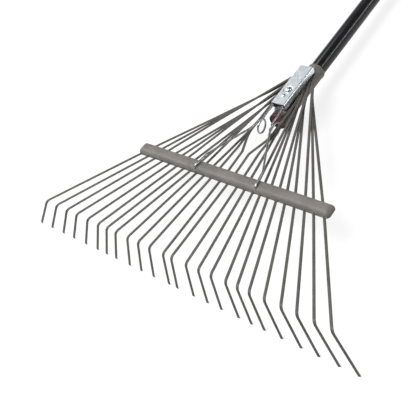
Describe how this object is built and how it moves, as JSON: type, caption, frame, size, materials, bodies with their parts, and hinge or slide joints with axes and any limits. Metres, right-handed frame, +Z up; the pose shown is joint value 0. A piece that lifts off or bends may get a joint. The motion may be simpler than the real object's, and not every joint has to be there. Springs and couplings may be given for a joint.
{
  "type": "leaf rake",
  "caption": "Spring-braced fan leaf rake: flat steel tines with bent tips, slotted crossbar, coiled wire brace and clamp channel on a long tubular handle.",
  "frame": {"origin": "middle of the footprint of the rake as it lies on the ground, on its tips and the end of its handle", "axes": "+X across the fan, +Y along the handle from the tips to the end cap, +Z up from the ground, on the side of the clamp channel and the brace"},
  "size_m": [0.5828, 1.5782, 0.0649],
  "materials": {
    "handle_enamel": "gloss black enamel on steel tube",
    "cap_plastic": "moulded black plastic",
    "ferrule_paint": "satin grey-taupe paint",
    "plug_plastic": "dark red plastic",
    "zinc_plate": "bright zinc plating with fine spangle",
    "rivet_zinc": "zinc-plated steel",
    "crossbar_paint": "satin grey-taupe paint on folded sheet",
    "bright_wire": "bright plated spring wire",
    "tine_paint": "satin dark taupe paint on spring steel"
  },
  "bodies": {
    "root": {"handle_tube": "handle_enamel", "handle_end_cap": "cap_plastic", "ferrule": "ferrule_paint", "ferrule_plug": "plug_plastic", "clamp_plate_lower": "ferrule_paint", "clamp_plate_upper": "ferrule_paint", "clamp_channel": "zinc_plate", "clamp_rivet_large": "rivet_zinc", "clamp_rivet_small": "rivet_zinc", "crossbar": "crossbar_paint", "spring_brace": "bright_wire", "tine_01": "tine_paint", "tine_02": "tine_paint", "tine_03": "tine_paint", "tine_04": "tine_paint", "tine_05": "tine_paint", "tine_06": "tine_paint", "tine_07": "tine_paint", "tine_08": "tine_paint", "tine_09": "tine_paint", "tine_10": "tine_paint", "tine_11": "tine_paint", "tine_12": "tine_paint", "tine_13": "tine_paint", "tine_14": "tine_paint", "tine_15": "tine_paint", "tine_16": "tine_paint", "tine_17": "tine_paint", "tine_18": "tine_paint", "tine_19": "tine_paint", "tine_20": "tine_paint", "tine_21": "tine_paint", "tine_22": "tine_paint", "tine_23": "tine_paint", "tine_24": "tine_paint"}
  },
  "joints": []
}
